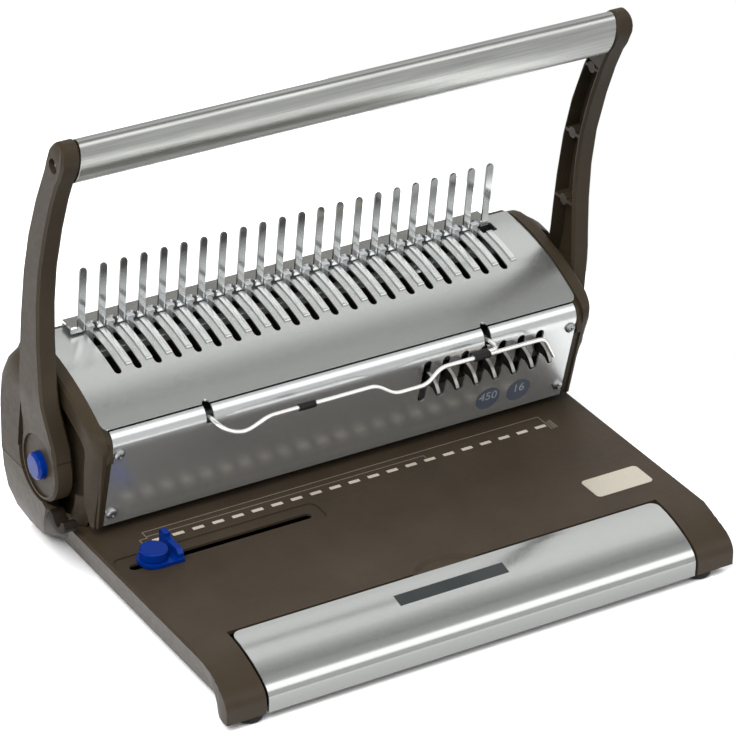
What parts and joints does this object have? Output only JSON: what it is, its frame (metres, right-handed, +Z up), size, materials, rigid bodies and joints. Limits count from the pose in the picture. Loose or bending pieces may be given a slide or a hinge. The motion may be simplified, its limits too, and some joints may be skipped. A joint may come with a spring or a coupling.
{
  "type": "comb binding machine",
  "caption": "Manual comb binding machine with a hoop handle over a slotted cover, a comb opener, a side guide and a waste drawer.",
  "frame": {"origin": "centre of the bounding box at the floor, under the feet", "axes": "+X towards the right of someone using it, -Y towards them (the drawer side), +Z up"},
  "size_m": [0.406, 0.2746, 0.3213],
  "materials": {
    "brown_plastic": "fine satin grain",
    "black_plastic": "matt",
    "black_metal": "satin black",
    "black_sheet": "matt",
    "foot_rubber": "matt",
    "silver_paint": "silver, semi-gloss",
    "bright_chrome": "polished",
    "plain_steel": "bright zinc",
    "brushed_aluminium": "brushed, clear anodised",
    "blue_plastic": "glossy"
  },
  "bodies": {
    "base": {"base_tray": "brown_plastic", "floor_plate": "black_sheet", "foot_front_left": "foot_rubber", "foot_front_right": "foot_rubber", "foot_rear_left": "foot_rubber", "foot_rear_right": "foot_rubber", "front_panel": "silver_paint", "top_cover": "silver_paint", "rear_cover": "brown_plastic", "comb_plate": "bright_chrome", "comb_crossbar": "plain_steel", "die_plate": "plain_steel", "pin_guide": "plain_steel", "sheet_holder": "black_metal", "casing_left": "brown_plastic", "casing_right": "brown_plastic", "frame_left": "plain_steel", "frame_right": "plain_steel", "shaft_bush_left": "plain_steel", "shaft_bush_right": "plain_steel", "handle_spring_left": "plain_steel", "handle_spring_right": "plain_steel", "bail_bracket_left": "black_plastic", "bail_bracket_right": "black_plastic", "panel_screw_upper_left": "bright_chrome", "panel_screw_upper_right": "bright_chrome", "panel_screw_lower_left": "bright_chrome", "panel_screw_lower_right": "bright_chrome"},
    "handle": {"handle_arm_left": "brown_plastic", "handle_arm_right": "brown_plastic", "arm_screw_left": "plain_steel", "arm_screw_right": "plain_steel", "punch_cam_left": "plain_steel", "punch_cam_right": "plain_steel", "opener_lever_left": "plain_steel", "opener_lever_right": "plain_steel", "grip_tube": "brushed_aluminium", "pivot_shaft": "plain_steel", "hub_cap": "brown_plastic"},
    "lock_button": {"hub_button": "blue_plastic"},
    "punch": {"punch_bar": "plain_steel"},
    "opener": {"opener_comb": "bright_chrome", "opener_plate_left": "plain_steel", "opener_plate_right": "plain_steel"},
    "drawer": {"drawer_cover": "silver_paint", "drawer_tray": "black_plastic"},
    "side_guide": {"guide_slider": "blue_plastic", "guide_knob": "blue_plastic", "guide_nut": "black_plastic"},
    "bail": {"bail_wire": "bright_chrome", "bail_arm": "bright_chrome", "bail_sleeve_left": "black_plastic", "bail_sleeve_right": "black_plastic"}
  },
  "joints": [
    {"name": "handle_hinge", "type": "hinge", "parent": "base", "child": "handle", "pos_m": [0, 0.08125, 0.0765], "axis": [1, 0, 0], "range_deg": [0, 75], "stiffness_Nm_per_rad": 0.8, "springref_deg": -28.65},
    {"name": "lock_button_slide", "type": "slide", "parent": "handle", "child": "lock_button", "axis": [1, 0, 0], "range_m": [0, 0.0025], "stiffness_N_per_m": 400, "springref_m": -0.002},
    {"name": "punch_slide", "type": "slide", "parent": "base", "child": "punch", "axis": [0, 0, -1], "range_m": [0, 0.01]},
    {"name": "opener_slide", "type": "slide", "parent": "base", "child": "opener", "axis": [0, -0.9782, -0.2079], "range_m": [0, 0.038]},
    {"name": "drawer_slide", "type": "slide", "parent": "base", "child": "drawer", "axis": [0, -1, 0], "range_m": [0, 0.14]},
    {"name": "guide_slide", "type": "slide", "parent": "base", "child": "side_guide", "axis": [1, 0, 0], "range_m": [-0.006, 0.1]},
    {"name": "bail_hinge", "type": "hinge", "parent": "base", "child": "bail", "pos_m": [0, 0.04225, 0.105], "axis": [-1, 0, 0], "range_deg": [0, 20]}
  ],
  "couplings": [
    {"joint": "punch_slide", "follows": "handle_hinge", "m_per_rad": 0.007639},
    {"joint": "opener_slide", "follows": "handle_hinge", "m_per_rad": 0.02903}
  ]
}
